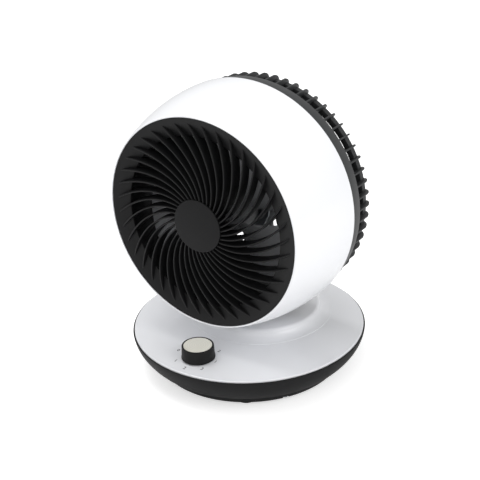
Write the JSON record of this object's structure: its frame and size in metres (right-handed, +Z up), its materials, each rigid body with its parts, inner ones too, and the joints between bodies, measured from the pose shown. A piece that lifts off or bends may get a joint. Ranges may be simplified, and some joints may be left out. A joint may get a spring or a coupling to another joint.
{
  "type": "air circulator fan",
  "caption": "Free-standing table air circulator with a barrel head, spiral front grille, swivel pedestal, tilt hinge and a round base with a rotary switch.",
  "frame": {"origin": "on the table under the middle of the round base", "axes": "+Z up, -Y the way the fan blows, +X to the right of someone facing the fan's front"},
  "size_m": [0.2324, 0.2324, 0.2899],
  "materials": {
    "white_shell": "gloss",
    "black_plastic": "fine matt",
    "black_satin": "satin",
    "dark_grey_plastic": "fine matt",
    "blade_plastic": "satin",
    "cream_disc": "satin",
    "rubber": "matt",
    "steel": "ground",
    "zinc_plate": "zinc plated",
    "iron": "painted grey",
    "core_and_winding": "varnished laminations and copper",
    "nylon": "natural"
  },
  "bodies": {
    "base": {"base_bowl": "black_plastic", "base_tray": "black_plastic", "base_cover": "white_shell", "ballast_ring": "iron", "cable_inlet": "rubber", "rotary_switch": "black_satin", "swing_motor": "zinc_plate", "slide_washer": "nylon", "rubber_foot_1": "rubber", "rubber_foot_2": "rubber", "rubber_foot_3": "rubber", "rubber_foot_4": "rubber", "rubber_foot_5": "rubber", "rubber_foot_6": "rubber", "base_screw_1": "zinc_plate", "base_screw_2": "zinc_plate", "base_screw_3": "zinc_plate", "base_screw_4": "zinc_plate"},
    "knob": {"knob": "black_plastic", "knob_disc": "cream_disc", "switch_spindle": "steel"},
    "pinion": {"swing_pinion": "nylon", "swing_spindle": "steel"},
    "turret": {"turntable": "black_satin", "shaft_ring": "steel", "swing_gear": "nylon", "neck": "black_satin", "neck_screw_1": "zinc_plate", "neck_screw_2": "zinc_plate", "tilt_pin": "steel", "tilt_nut": "steel", "tilt_washer_left": "nylon", "tilt_washer_right": "nylon"},
    "head": {"outer_shell": "white_shell", "front_grille": "black_satin", "hub_cover": "black_plastic", "air_duct": "black_plastic", "rear_grille": "dark_grey_plastic", "motor_can": "iron", "motor_cover": "zinc_plate", "stator": "core_and_winding", "rear_bearing": "steel", "front_bearing": "steel", "tilt_bracket": "zinc_plate", "bracket_screw_1": "zinc_plate", "bracket_screw_2": "zinc_plate", "grille_screw_1": "zinc_plate", "grille_screw_2": "zinc_plate", "grille_screw_3": "zinc_plate", "grille_screw_4": "zinc_plate", "motor_screw_1": "zinc_plate", "motor_screw_2": "zinc_plate", "motor_screw_3": "zinc_plate", "motor_screw_4": "zinc_plate"},
    "blade": {"fan_blade": "blade_plastic", "spinner_nut": "black_plastic", "motor_shaft": "steel", "rotor_core": "iron"}
  },
  "joints": [
    {"name": "knob_turn", "type": "hinge", "parent": "base", "child": "knob", "pos_m": [0, -0.0863, 0.05], "axis": [0, 0, -1], "range_deg": [0, 300]},
    {"name": "swing", "type": "hinge", "parent": "base", "child": "turret", "pos_m": [0, 0.023, 0.045], "axis": [0, 0, 1], "range_deg": [-40, 40]},
    {"name": "pinion_spin", "type": "hinge", "parent": "base", "child": "pinion", "pos_m": [0, 0.05625, 0.037], "axis": [0, 0, 1], "range_deg": [-100, 100]},
    {"name": "tilt", "type": "hinge", "parent": "turret", "child": "head", "pos_m": [0, 0.017, 0.073], "axis": [-1, 0, 0], "range_deg": [-5, 20]},
    {"name": "blade_spin", "type": "hinge", "parent": "head", "child": "blade", "pos_m": [0, 0, 0.174], "axis": [0, -1, 0], "continuous": true}
  ],
  "couplings": [
    {"joint": "pinion_spin", "follows": "swing", "ratio": -2.5}
  ]
}
